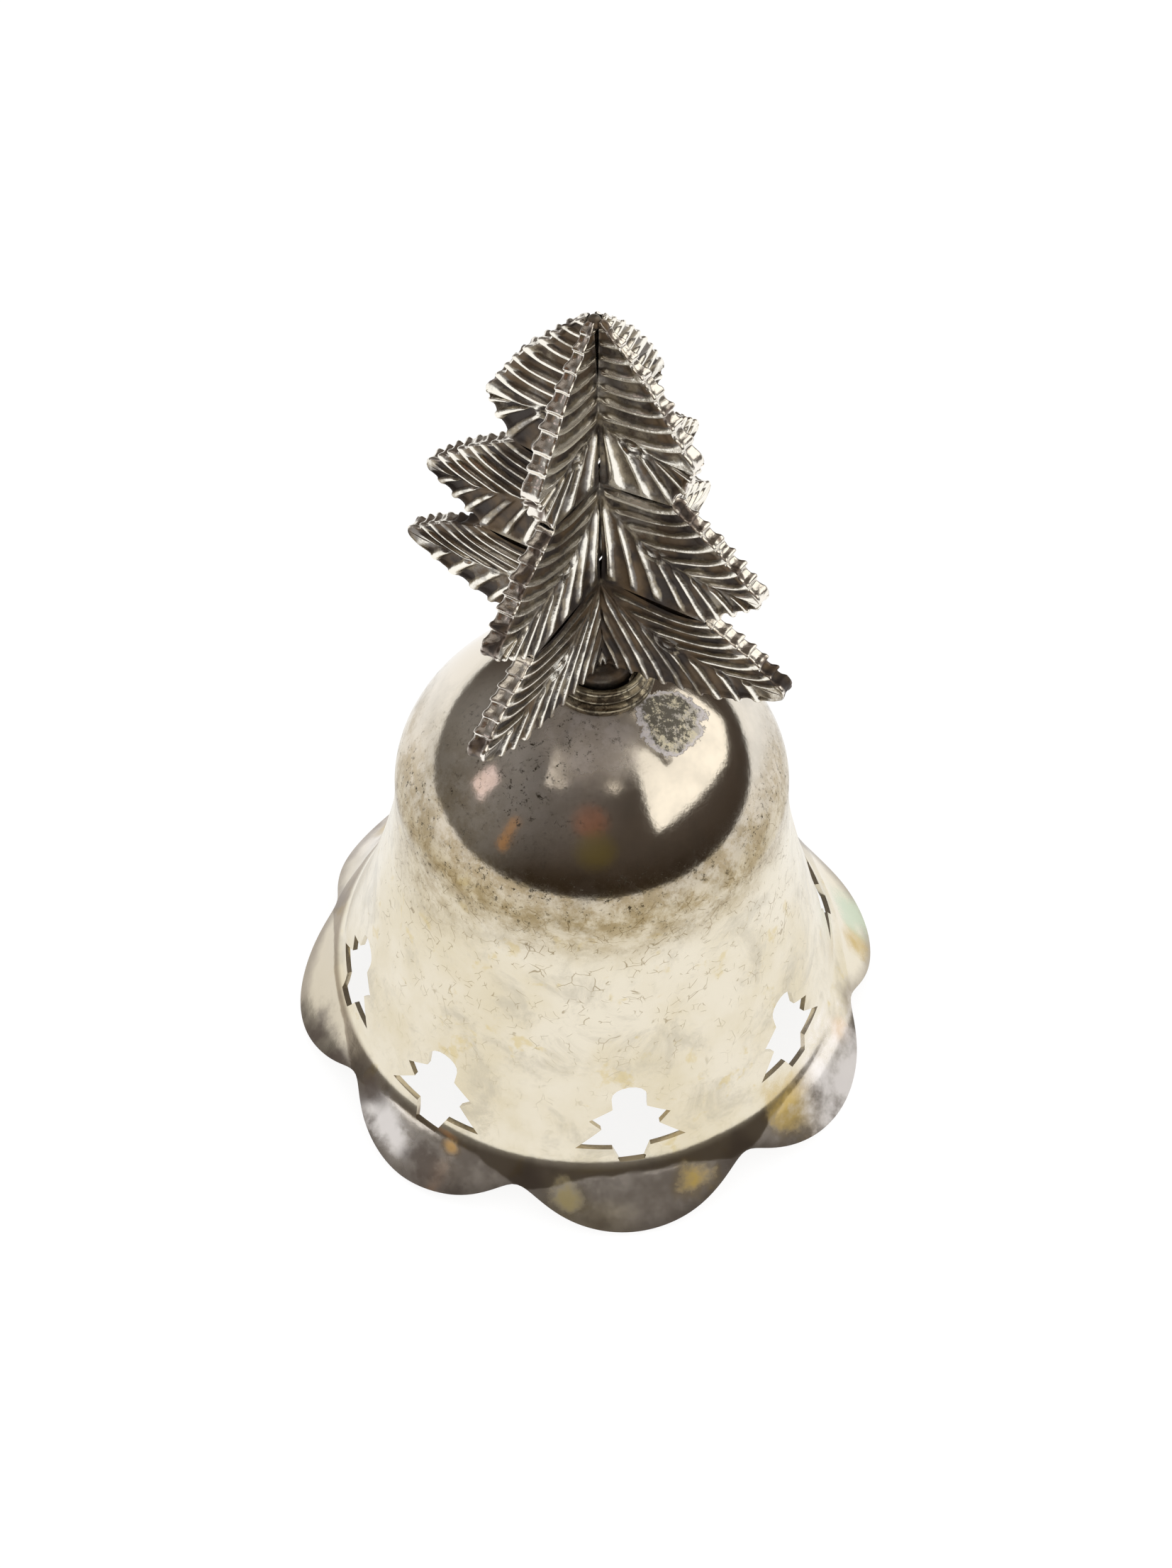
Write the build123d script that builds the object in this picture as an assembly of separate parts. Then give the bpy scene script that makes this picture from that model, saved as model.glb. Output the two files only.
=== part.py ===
"""Christmas hand bell: a spun bell with a scalloped, pierced rim and a cast fir tree as its handle.

Millimetres, +Z up. The origin is on the axis of the bell, in the plane that its rim rests on.
One lobe of the rim points along +X. Each separate piece is written to parts/NODE.step.
"""

from build123d import *
import os
from math import acos, atan2, cos, radians, sin, sqrt

# ---- Driving dimensions -------------------------------------------------------------------
SHEET = 0.8  # thickness of the spun brass sheet

LOBES = 8
LOBE_R = 34.4  # rim radius at the middle of a lobe
LOBE_ROUND = 14.2  # radius of a lobe's own arc, seen from above
NOTCH_ROUND = 3.0  # radius of the hollow between two lobes

SHOULDER_R = 20.4  # outside radius where the dome meets the wall
SHOULDER_Z = 38.1
DOME_RISE = 15.1  # height of the dome above the shoulder
DOME_POWER_Z = 1.529  # exponents of the dome's superellipse
DOME_POWER_R = 2.097
WALL_FOOT_Z = 7.65  # height at which the wall turns out into the flare
WALL_FLARE = 8.0  # growth in radius from the shoulder to the wall's foot
WALL_POWER = 1.5

BEND_R = 5.0  # outside radius of the turn from the wall to the straight flare
RIM_TOP_Z = 0.62  # height of the flare's outside at the middle of a lobe's rim
BLANK_R = 35.6  # the spun blank's radius, before its edge is trimmed to lobes

# The trees were pierced by hand: each is turned by some degrees and set lower than the others.
CUT_TURN = (0.0, 0.0, 0.0, 0.0, 5.7, -2.1, -0.8, 0.0)
CUT_DROP = (0.0, 0.0, 0.0, 0.0, 0.35, 1.15, 0.0, -0.75)
CUT_TOP_Z = 16.25  # top of the small fir trees that are pierced through the wall
CUT_SIDE = [  # right side of such a tree, from its top down: (half width, height)
    (1.9, 14.95),
    (1.85, 13.5),
    (4.4, 12.1),
    (3.15, 10.95),
    (6.0, 8.6),
    (2.05, 8.35),
    (1.35, 6.75),
]

COLLAR_R = 5.0  # collar on the crown: its base, its step, its lip and the recess inside the lip
COLLAR_BASE_TOP_Z = 53.4
COLLAR_STEP_R = 4.5
COLLAR_STEP_Z = 53.7
COLLAR_LIP_R = 4.25
COLLAR_LIP_Z = 54.9
RECESS_R = 3.6
RECESS_Z = 53.9

TREE_TURN = 48.9  # direction of the first vane of the tree, degrees from +X
VANE_THICK = 1.9
TREE_FOOT_R = 3.2
TREE_FOOT_CHAMFER = 0.4
TREE_SEAT_GAP = 0.02  # between the foot and the collar's recess
TREE_BASE_Z = 55.6  # top of the foot, where the vanes start

STUD_R = 1.0
STUD_TOP_Z = 60.0
STUD_CLEAR = 0.06  # radial room around the stud in every hole
STUD_END_GAP = 0.3  # room above the stud in the tree's bore
WASHER_R = 3.5
WASHER_THICK = 0.5
WASHER_GAP = 0.05  # between the washer's edge and the inside of the crown
NUT_FLATS = 4.0
NUT_THICK = 1.6
NUT_CHAMFER = 0.2
EYE_DROP = 0.5  # from the nut down to the eye's wire

WIRE_R = 0.6  # wire of the eye, the links and the clapper's loop
WIRE_GAP = 0.1  # gap between two linked wires
EYE_R = 2.0  # bend radius of the eye, to the wire's centre
LINK_R = 1.9  # bend radius of a link's ends, to the wire's centre
LINK_LENGTH = 9.0  # between the wire's centres at the link's ends
LINK_NAMES = ("upper_link", "middle_link", "lower_link")

BALL_R = 5.5
BALL_Z = 11.8
BALL_BORE_DEPTH = 4.0
BALL_BORE_CLEAR = 0.05  # radial room around the wire in the bore
BALL_BORE_GAP = 0.2  # room under the wire's end

# ---- Worked out ---------------------------------------------------------------------------
CROWN_Z = SHOULDER_Z + DOME_RISE
HOLE_R = STUD_R + STUD_CLEAR
BASE = (Align.CENTER, Align.CENTER, Align.MIN)  # a solid stands on its own place


def dome_point(angle):
    """Point (r, z) on the outside of the dome: 0 degrees at the shoulder, 90 at the crown."""
    rise = sin(radians(angle))
    r = SHOULDER_R * max(0.0, 1 - rise**DOME_POWER_Z) ** (1 / DOME_POWER_R)
    return r, SHOULDER_Z + DOME_RISE * rise


def dome_height(r):
    """Height of the dome's outside at a radius."""
    rise = (1 - (r / SHOULDER_R) ** DOME_POWER_R) ** (1 / DOME_POWER_Z)
    return SHOULDER_Z + DOME_RISE * rise


def wall_point(fraction):
    """Point (r, z) on the outside of the wall: 0 at the shoulder, 1 at the wall's foot."""
    r = SHOULDER_R + WALL_FLARE * fraction**WALL_POWER
    return r, SHOULDER_Z - (SHOULDER_Z - WALL_FOOT_Z) * fraction


def body_point(place, depth):
    """Point (r, z) a depth under the bell's outside skin.

    The place runs from -90 at the crown (degrees) over 0 at the shoulder to 1 at the wall's foot.
    """

    def skin(at):
        return wall_point(at) if at > 0 else dome_point(-at)

    nudge = 0.001 if place > 0 else 0.1
    r, z = skin(place)
    r_after, z_after = skin(min(place + nudge, 1.0))
    r_before, z_before = skin(max(place - nudge, -90.0))
    along = Vector(r_after - r_before, z_after - z_before).normalized()
    return r + depth * along.Y, z - depth * along.X


def body_curve(depth):
    """Smooth curve from the crown to the wall's foot, a depth under the outside skin."""
    dome_places = [-angle for angle in range(90, 0, -10)]
    wall_places = [0.0001, 0.2, 0.4, 0.6, 0.8, 1.0]
    points = [body_point(place, depth) for place in dome_places + wall_places]
    points[0] = (0, CROWN_Z - depth)
    return Spline(*points)


def foot_bend():
    """Centre of the turn at the wall's foot, and the directions from it to the turn's two ends."""
    foot = Vector(*wall_point(1.0))
    above = Vector(*wall_point(0.999))
    down = (foot - above).normalized()
    start = Vector(down.Y, -down.X)
    centre = foot - start * BEND_R
    to_rim = Vector(LOBE_R, RIM_TOP_Z) - centre
    angle = atan2(to_rim.Y, to_rim.X) - acos(BEND_R / to_rim.length)
    return centre, start, Vector(cos(angle), sin(angle))


def skirt_lines(depth):
    """The turn and the straight flare, a depth under the outside skin, from the wall's foot out."""
    centre, start, end = foot_bend()
    radius = BEND_R + depth
    bend_start, bend_end = centre + start * radius, centre + end * radius
    bend = ThreePointArc(bend_start, centre + (start + end).normalized() * radius, bend_end)
    outward = Vector(-end.Y, end.X)
    reach = (BLANK_R - bend_end.X) / outward.X
    return bend, Line(bend_end, bend_end + outward * reach)


def spun_blank():
    """The bell as it leaves the spinning lathe: dome, wall and a plain round flare."""
    outside = body_curve(0)
    inside = body_curve(SHEET)
    outside_bend, outside_skirt = skirt_lines(0)
    inside_bend, inside_skirt = skirt_lines(SHEET)
    section = make_face(
        [
            outside,
            outside_bend,
            outside_skirt,
            Line(outside_skirt @ 1, inside_skirt @ 1),
            inside_skirt,
            inside_bend,
            inside,
            Line(inside @ 0, outside @ 0),
        ]
    )
    return revolve(Plane.XZ * section, Axis.Z)


def scallop_outline():
    """Plan of the rim: round lobes with a small hollow between each two."""
    outline = Circle(LOBE_R - LOBE_ROUND)
    for lobe in range(LOBES):
        place = Rot(0, 0, 360 / LOBES * lobe) * Pos(LOBE_R - LOBE_ROUND, 0)
        outline += place * Circle(LOBE_ROUND)
    corners = [v for v in outline.vertices() if Vector(v.X, v.Y).length < LOBE_R - 2]
    return fillet(corners, NOTCH_ROUND)


def tree_cutter():
    """Small fir tree with a blunt top, two tiers and a trunk, standing on +X, to pierce the wall."""
    left = [(-x, z) for x, z in reversed(CUT_SIDE)]
    top = ThreePointArc(left[-1], (0, CUT_TOP_Z), CUT_SIDE[0])
    outline = make_face([top, Polyline(*CUT_SIDE, *left)])
    inner_r = SHOULDER_R + 2
    return Pos(inner_r, 0, 0) * extrude(Plane.YZ * outline, LOBE_R - inner_r + 2)


def bell_shell():
    """Spun sheet with trimmed lobes, a pierced tree over each lobe and the stud's hole."""
    shell = spun_blank()
    shell &= extrude(scallop_outline(), CROWN_Z + 1)
    for lobe, (turn, drop) in enumerate(zip(CUT_TURN, CUT_DROP)):
        shell -= Pos(0, 0, -drop) * Rot(0, 0, 360 / LOBES * lobe + turn) * tree_cutter()
    return shell - Pos(0, 0, CROWN_Z) * Cylinder(HOLE_R, 4 * SHEET)


def crown_collar():
    """Stepped ring on the crown: a wide base, a narrower lip and a recess for the tree's foot."""
    clearance, lip_crown = 0.01, 0.1
    seat = [(r, dome_height(r) + clearance) for r in (HOLE_R, (HOLE_R + COLLAR_R) / 2, COLLAR_R)]
    step = (COLLAR_STEP_R, COLLAR_STEP_Z)
    lip_outside, lip_inside = (COLLAR_LIP_R, COLLAR_LIP_Z), (RECESS_R, COLLAR_LIP_Z)
    lip_middle = ((COLLAR_LIP_R + RECESS_R) / 2, COLLAR_LIP_Z + lip_crown)
    section = make_face(
        [
            ThreePointArc(*seat),
            Polyline(seat[-1], (COLLAR_R, COLLAR_BASE_TOP_Z), step, lip_outside),
            ThreePointArc(lip_outside, lip_middle, lip_inside),
            Polyline(lip_inside, (RECESS_R, RECESS_Z), (HOLE_R, RECESS_Z), seat[0]),
        ]
    )
    return revolve(Plane.XZ * section, Axis.Z)


# Each tier of a vane, as points (distance from the axis, height): where its upper edge leaves
# the tier above, a point half-way down that edge, the tip, a point half-way back under the
# tier, and the inner end of that underside.
TIERS = [
    [(0.0, 95.6), (5.6, 90.1), (10.4, 84.0), (10.0, 81.5), (8.2, 79.5)],
    [(8.2, 79.5), (13.2, 76.0), (17.7, 72.2), (15.3, 69.2), (12.3, 67.2)],
    [(12.3, 67.2), (16.8, 65.4), (21.0, 62.3), (17.6, 59.3), (11.5, 57.3)],
]
TIP_ROUND = 0.7


def vane_pair():
    """Two opposite vanes of the tree as one flat plate in the XZ plane."""
    edges = []
    for start, upper, tip, under, end in TIERS:
        for side in (1, -1):
            a, b, c, d, e = [(side * r, z) for r, z in (start, upper, tip, under, end)]
            edges += [ThreePointArc(a, b, c), ThreePointArc(c, d, e)]
    last_r, last_z = TIERS[-1][-1]
    edges.append(Polyline((last_r, last_z), (TREE_FOOT_R, TREE_BASE_Z), (-TREE_FOOT_R, TREE_BASE_Z)))
    edges.append(Line((-TREE_FOOT_R, TREE_BASE_Z), (-last_r, last_z)))
    outline = make_face(edges)
    tips = [v for v in outline.vertices() if any(abs(abs(v.X) - tier[2][0]) < 0.01 for tier in TIERS)]
    outline = fillet(tips, TIP_ROUND)
    return extrude(Plane.XZ * outline, VANE_THICK / 2, both=True)


def tree_handle():
    """One casting: four vanes at right angles on a round foot, tapped from below for the stud."""
    foot_bottom = RECESS_Z + TREE_SEAT_GAP
    foot_height = TREE_BASE_Z + TREE_FOOT_CHAMFER / 2 - foot_bottom
    foot = Pos(0, 0, foot_bottom) * Cylinder(TREE_FOOT_R, foot_height, align=BASE)
    foot = chamfer(foot.edges().group_by(Axis.Z)[-1], TREE_FOOT_CHAMFER)
    tree = foot
    for quarter in (0, 90):
        tree += Rot(0, 0, TREE_TURN + quarter) * vane_pair()
    bore_start = foot_bottom - 1
    bore_depth = STUD_TOP_Z + STUD_END_GAP - bore_start
    return tree - Pos(0, 0, bore_start) * Cylinder(HOLE_R, bore_depth, align=BASE)


# ---- Heights of the fixings and the chain under the crown ---------------------------------
WASHER_TOP_Z = dome_height(WASHER_R) - SHEET - WASHER_GAP
NUT_TOP_Z = WASHER_TOP_Z - WASHER_THICK
EYE_Z = NUT_TOP_Z - NUT_THICK - EYE_DROP - WIRE_R - EYE_R  # centre of the eye
PIVOT_STEP = 2 * WIRE_R + WIRE_GAP  # from a wire's centre up to the centre of the wire hung on it
PIVOTS = [EYE_Z - EYE_R - (LINK_LENGTH - PIVOT_STEP) * n for n in range(len(LINK_NAMES) + 1)]


def crown_washer():
    """Flat washer between the inside of the crown and the nut."""
    disc = Cylinder(WASHER_R, WASHER_THICK, align=BASE) - Cylinder(HOLE_R, WASHER_THICK, align=BASE)
    return Pos(0, 0, WASHER_TOP_Z - WASHER_THICK) * disc


def crown_nut():
    """Hexagon nut that clamps tree, collar and bell together on the stud."""
    hexagon = extrude(RegularPolygon(NUT_FLATS / 2, 6, major_radius=False), NUT_THICK)
    corner_r = NUT_FLATS / sqrt(3)
    turned = Cylinder(corner_r, NUT_THICK, align=BASE)
    turned = chamfer(turned.edges().filter_by(GeomType.CIRCLE), NUT_CHAMFER)
    nut = (hexagon & turned) - Cylinder(HOLE_R, NUT_THICK, align=BASE)
    return Pos(0, 0, NUT_TOP_Z - NUT_THICK) * nut


def eye_stud():
    """Straight stud with a wire eye below the nut; the eye lies in the XZ plane."""
    shank_bottom = EYE_Z + EYE_R - WIRE_R / 2
    shank = Pos(0, 0, shank_bottom) * Cylinder(STUD_R, STUD_TOP_Z - shank_bottom, align=BASE)
    eye = Pos(0, 0, EYE_Z) * Rot(90, 0, 0) * Torus(EYE_R, WIRE_R)
    return shank + eye


def chain_link(index):
    """Oval link of bent wire: the first lies in the YZ plane, the next in the XZ plane, and so on."""
    straight = LINK_LENGTH - 2 * LINK_R
    bend = Rot(90, 0, 0) * Torus(LINK_R, WIRE_R, major_angle=180, align=None)
    link = Pos(0, 0, straight / 2) * bend
    link += Pos(0, 0, -straight / 2) * Rot(0, 180, 0) * bend
    for side in (-LINK_R, LINK_R):
        link += Pos(side, 0, 0) * Cylinder(WIRE_R, straight)
    middle_z = PIVOTS[index] + PIVOT_STEP - LINK_LENGTH / 2
    return Pos(0, 0, middle_z) * Rot(0, 0, 90 * ((index + 1) % 2)) * link


def clapper_wire():
    """Round loop hung on the last link, with a stem that goes down into the ball."""
    loop_z = PIVOTS[-1] + PIVOT_STEP - LINK_R
    stem_bottom = BALL_Z + BALL_R - BALL_BORE_DEPTH + BALL_BORE_GAP
    loop = Pos(0, 0, loop_z) * Rot(90, 0, 0) * Torus(LINK_R, WIRE_R)
    return loop + Pos(0, 0, stem_bottom) * Cylinder(WIRE_R, loop_z - LINK_R - stem_bottom, align=BASE)


def clapper_ball():
    """Solid ball with a blind bore for the wire."""
    ball = Sphere(BALL_R)
    bore = Cylinder(WIRE_R + BALL_BORE_CLEAR, BALL_BORE_DEPTH + 1, align=BASE)
    return Pos(0, 0, BALL_Z) * (ball - Pos(0, 0, BALL_R - BALL_BORE_DEPTH) * bore)


def main():
    pieces = {
        "bell_shell": bell_shell(),
        "crown_collar": crown_collar(),
        "tree_handle": tree_handle(),
        "eye_stud": eye_stud(),
        "crown_washer": crown_washer(),
        "crown_nut": crown_nut(),
        "clapper_wire": clapper_wire(),
        "clapper_ball": clapper_ball(),
    }
    for index, name in enumerate(LINK_NAMES):
        pieces[name] = chain_link(index)
    os.makedirs("parts", exist_ok=True)
    for name, piece in pieces.items():
        solids = piece.solids()
        export_step(solids[0] if len(solids) == 1 else piece, f"parts/{name}.step")
    for joint, height in zip((*LINK_NAMES, "clapper"), PIVOTS):
        print(f"{joint} hangs from a wire centre at z = {height:.3f}")


main()
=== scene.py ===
"""Looks of the Christmas hand bell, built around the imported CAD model.

Metres, +Z up, in the CAD model's frame. Sizes below are written in millimetres and scaled by MM.
"""

from math import atan2, cos, degrees, pi, radians, sin

import bpy
import numpy as np
from mathutils import Matrix, Vector, noise


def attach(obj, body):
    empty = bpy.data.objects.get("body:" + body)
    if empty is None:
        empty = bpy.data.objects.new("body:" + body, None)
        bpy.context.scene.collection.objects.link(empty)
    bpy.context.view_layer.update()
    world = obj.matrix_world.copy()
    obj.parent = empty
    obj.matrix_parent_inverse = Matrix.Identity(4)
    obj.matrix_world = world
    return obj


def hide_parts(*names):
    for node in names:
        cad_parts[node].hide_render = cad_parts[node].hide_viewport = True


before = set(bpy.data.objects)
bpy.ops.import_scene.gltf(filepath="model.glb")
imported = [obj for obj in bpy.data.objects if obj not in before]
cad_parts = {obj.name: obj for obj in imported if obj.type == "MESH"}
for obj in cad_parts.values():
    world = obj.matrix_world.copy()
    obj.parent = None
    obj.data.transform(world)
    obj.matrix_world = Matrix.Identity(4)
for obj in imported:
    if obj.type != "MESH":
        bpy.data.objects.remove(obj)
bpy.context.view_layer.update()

MM = 0.001
scene = bpy.context.scene

# ---- Sizes of the bell, in millimetres ----------------------------------------------------
CROWN_SHEET, WALL_SHEET = 0.8, 0.5  # the sheet is thinner where it was spun out further
LOBES = 8
LOBE_R = 34.3  # rim radius at the middle of a lobe
LOBE_ROUND = 14.2  # radius of a lobe's own arc, seen from above
NOTCH_BLEND = 0.85  # how softly two lobes run together at a notch
SHOULDER_R, SHOULDER_Z = 20.4, 38.1
DOME_RISE, DOME_POWER_Z, DOME_POWER_R = 15.1, 1.529, 2.097  # height and powers of a superellipse
CROWN_Z = SHOULDER_Z + DOME_RISE
WALL_FLARE, WALL_POWER = 8.0, 1.5
WALL_FOOT_Z = 7.65  # where the wall turns out into the flare
BEND = 5.0  # radius of that turn
FLARE_R = SHOULDER_R + WALL_FLARE  # the wall's radius at its foot
RIM_Z = 0.62  # height of the rim's outer edge at the middle of a lobe
CREASE_R, CREASE_RISE = 29.75, 1.4  # a face starts at this radius, further out at a notch
DISH_DEPTH = 0.45  # how far a lobe's face is pressed in
LIP_ROUND = 0.08  # how far the rim's rounded edge stands out
NOTCH_SHIFT = (-0.5, -2.2, 1.0, 1.0, 0.0, 0.0, 0.0, 0.0)  # degrees, from the notch at -157.5 on
LOBE_LIFT = (0.0, 0.2, 0.0, -0.1, 0.0, 0.3, 0.0, 0.4)  # how far each lobe is bent up, from +X on
CUT_TURN = (0.0, 0.0, 0.0, 0.0, 5.7, -2.1, -0.8, 0.0)  # degrees, from the lobe on +X on
CUT_DROP = (0.0, 0.0, 0.0, 0.0, 0.35, 1.15, 0.0, -0.75)  # how much lower each tree is pierced
CUT_TOP_R, CUT_TOP_RISE, CUT_TOP_Z = 1.9, 1.3, 14.95  # the round top of a pierced tree
CUT_DEPTHS = (22.0, 37.0)  # how far from the axis the piercing tool starts and ends
CUT_SIDE = [  # one side of a pierced tree as (across, height), from its round top to its foot
    (1.9, 14.95), (1.85, 13.5), (4.4, 12.1), (3.15, 10.95), (6.0, 8.6), (2.05, 8.35), (1.35, 6.75),
]

COLLAR_LIP_Z = 55.0
COLLAR_SHIFT = 0.7  # how far the collar sits to the right, seen from the front

# ---- Sizes of the tree, in millimetres ----------------------------------------------------
TREE_TURN = 48.9  # direction of the first vane, degrees from +X
APEX_Z = 95.2
TREE_BASE_Z = 55.7
TRUNK_HALF = 0.62  # half thickness of a vane at the trunk, along spines and in valleys
CREST_HALF = 1.0  # half thickness at the crest of a needle
GROOVE_HALF = 0.45  # half thickness in a groove between two needles
APEX_THIN = 0.55  # the vanes are thinner at the apex, by this factor
NUB_R, NUB_Z = 0.62, APEX_Z - 0.35  # radius and centre of the tree's blunt top
FOOT_R = 3.2  # radius of the round foot in the collar's recess
FRONT = radians(-100.7)  # direction the photograph was taken from
RIGHT = np.array([cos(FRONT + pi / 2), sin(FRONT + pi / 2), 0.0])  # to the right, seen from there
LEAN_FOOT, LEAN_APEX = 0.5, -0.5  # sideways shift of the tree at its foot and apex
VANE_REACH = (0.96, 1.0, 1.0, 0.94)  # back right, back left, front left, front right


# ---- Small helpers ------------------------------------------------------------------------
def mesh_object(name, vertices, faces, material, smooth_angle=None):
    """New mesh object from points in millimetres."""
    mesh = bpy.data.meshes.new(name)
    mesh.from_pydata([tuple(v) for v in np.asarray(vertices) * MM], [], [tuple(f) for f in faces])
    mesh.validate()
    mesh.shade_smooth()
    if smooth_angle is not None:
        mesh.set_sharp_from_angle(angle=radians(smooth_angle))
    if material:
        mesh.materials.append(material)
    piece = bpy.data.objects.new(name, mesh)
    scene.collection.objects.link(piece)
    return piece


def grid_faces(rows, columns, start=0, wrap=False, close=False, flip=False):
    """Quads of a grid of points stored row by row.

    wrap joins the last column to the first, close the last row to the first.
    """
    faces = []
    for i in range(rows if close else rows - 1):
        row, row_after = start + i * columns, start + (i + 1) % rows * columns
        for j in range(columns if wrap else columns - 1):
            k = (j + 1) % columns
            a, b, c, d = row + j, row + k, row_after + k, row_after + j
            faces.append((a, d, c, b) if flip else (a, b, c, d))
    return faces


def smoothstep(x, low, high):
    """0 below low, 1 above high and a smooth step between them."""
    t = np.clip((np.asarray(x, float) - low) / (high - low), 0, 1)
    return t * t * (3 - 2 * t)


class Nodes:
    """Short-hand for building a material's node tree."""

    def __init__(self, name):
        self.material = bpy.data.materials.new(name)
        self.material.use_nodes = True
        self.tree = self.material.node_tree
        self.shader = self.tree.nodes["Principled BSDF"]
        self.place = self.new("ShaderNodeTexCoord").outputs["Object"]

    @classmethod
    def of_world(cls, world):
        """The same short-hand for a world, where place is the direction looked in."""
        world.use_nodes = True
        nodes = cls.__new__(cls)
        nodes.tree = world.node_tree
        nodes.shader = nodes.tree.nodes["Background"]
        nodes.place = nodes.new("ShaderNodeTexCoord").outputs["Generated"]
        return nodes

    def along(self, direction):
        """How far place lies along a direction."""
        node = self.new("ShaderNodeVectorMath", operation="DOT_PRODUCT")
        self.feed(node.inputs[0], self.place)
        node.inputs[1].default_value = direction
        return node.outputs["Value"]

    def new(self, kind, **settings):
        node = self.tree.nodes.new(kind)
        for key, value in settings.items():
            setattr(node, key, value)
        return node

    def feed(self, socket, value):
        """Links an output to a socket, or sets the socket's own value."""
        if isinstance(value, bpy.types.NodeSocket):
            self.tree.links.new(value, socket)
        elif isinstance(value, tuple) and len(value) == 3 and socket.type == "RGBA":
            socket.default_value = (*value, 1.0)
        else:
            socket.default_value = value

    def math(self, operation, a, b=0.0, clamp=False):
        """Output of a math node; a and b are outputs or plain numbers."""
        node = self.new("ShaderNodeMath", operation=operation, use_clamp=clamp)
        self.feed(node.inputs[0], a)
        self.feed(node.inputs[1], b)
        return node.outputs[0]

    def product(self, *values):
        """Product of two or more values."""
        result = values[0]
        for value in values[1:]:
            result = self.math("MULTIPLY", result, value)
        return result

    def largest(self, *values):
        """The largest of two or more values."""
        result = values[0]
        for value in values[1:]:
            result = self.math("MAXIMUM", result, value)
        return result

    def stretch(self, x, y, z, turn=0.0):
        """Object coordinates scaled by a factor per axis."""
        node = self.new("ShaderNodeMapping")
        self.feed(node.inputs["Vector"], self.place)
        node.inputs["Rotation"].default_value = (0, 0, turn)
        node.inputs["Scale"].default_value = (x, y, z)
        return node.outputs[0]

    def noise(self, per_mm, detail=4.0, rough=0.55, bend=0.0, vector=None):
        """Fractal noise with a number of features per millimetre."""
        node = self.new("ShaderNodeTexNoise")
        self.feed(node.inputs["Vector"], vector or self.place)
        node.inputs["Scale"].default_value = per_mm / MM
        node.inputs["Detail"].default_value = detail
        node.inputs["Roughness"].default_value = rough
        node.inputs["Distortion"].default_value = bend
        return node.outputs["Fac"]

    def ramp(self, value, low, high, start=0.0, end=1.0):
        """Smooth step from start to end as value goes from low to high."""
        node = self.new("ShaderNodeMapRange", interpolation_type="SMOOTHSTEP")
        self.feed(node.inputs["Value"], value)
        node.inputs["From Min"].default_value = low
        node.inputs["From Max"].default_value = high
        node.inputs["To Min"].default_value = start
        node.inputs["To Max"].default_value = end
        return node.outputs[0]

    def mix(self, factor, a, b, blend="MIX"):
        """Mix of two colours."""
        node = self.new("ShaderNodeMix", data_type="RGBA", blend_type=blend)
        self.feed(node.inputs["Factor"], factor)
        self.feed(node.inputs[6], a)
        self.feed(node.inputs[7], b)
        return node.outputs[2]

    def xyz(self):
        """Object coordinates in millimetres, and the distance from the axis."""
        split = self.new("ShaderNodeSeparateXYZ")
        self.feed(split.inputs[0], self.place)
        x, y, z = [self.math("MULTIPLY", split.outputs[k], 1 / MM) for k in range(3)]
        square = self.math("ADD", self.math("MULTIPLY", x, x), self.math("MULTIPLY", y, y))
        return x, y, z, self.math("SQRT", square)

    def distance(self, x, y, z):
        """Distance in millimetres from a point of the object."""
        node = self.new("ShaderNodeVectorMath", operation="DISTANCE")
        self.feed(node.inputs[0], self.place)
        node.inputs[1].default_value = (x * MM, y * MM, z * MM)
        return self.math("MULTIPLY", node.outputs["Value"], 1 / MM)

    def bump(self, height, distance_mm, strength=1.0, after=None):
        node = self.new("ShaderNodeBump")
        node.inputs["Strength"].default_value = strength
        node.inputs["Distance"].default_value = distance_mm * MM
        self.feed(node.inputs["Height"], height)
        if after is not None:
            self.feed(node.inputs["Normal"], after)
        return node.outputs[0]

    def finish(self, colour, rough, metal=1.0, normal=None):
        self.feed(self.shader.inputs["Base Color"], colour)
        self.feed(self.shader.inputs["Roughness"], rough)
        self.feed(self.shader.inputs["Metallic"], metal)
        if normal is not None:
            self.feed(self.shader.inputs["Normal"], normal)
        return self.material


# ---- Materials ----------------------------------------------------------------------------
# The pale patches are painted highlights: bright reflections painted onto the lobes.
PALE_PAINTED_HIGHLIGHT = (0.98, 0.93, 0.90)
OCHRE = (0.55, 0.385, 0.10)
RUST = (0.66, 0.40, 0.14)
UMBER = (0.10, 0.075, 0.06)
OLIVE = (0.36, 0.29, 0.13)
VERDIGRIS = (0.58, 0.66, 0.50)
STAINS_AND_HIGHLIGHTS = [  # where a stain or a painted highlight lies on the skirt, its reach in millimetres and its colour
    ((18.6, -24.4, 4.6), 3.9, OCHRE),
    ((26.5, -15.8, 4.6), 1.8, RUST),
    ((26.2, -20.4, 1.8), 7.5, PALE_PAINTED_HIGHLIGHT),
    ((6.2, -30.9, 3.8), 2.3, OCHRE),
    ((-7.8, -30.4, 3.8), 2.3, OLIVE),
    ((-19.4, -23.2, 5.2), 1.1, RUST),
    ((-25.4, -20.0, 3.0), 2.4, PALE_PAINTED_HIGHLIGHT),
    ((-26.3, -18.2, 3.4), 2.8, PALE_PAINTED_HIGHLIGHT),
    ((-27.4, -16.0, 3.6), 2.2, PALE_PAINTED_HIGHLIGHT),
    ((-32.9, -4.6, 2.0), 3.4, UMBER),
    ((-30.6, -9.6, 3.0), 2.4, UMBER),
    ((-22.0, -23.6, 2.6), 3.3, UMBER),
    ((-27.4, -14.2, 4.6), 2.2, UMBER),
    ((31.9, -3.4, 3.1), 2.2, OCHRE),
    ((32.6, 1.4, 2.4), 3.2, VERDIGRIS),
    ((10.0, 30.0, 3.8), 2.4, OCHRE),
    ((-20.6, 24.0, 4.2), 2.6, OCHRE),
]


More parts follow.
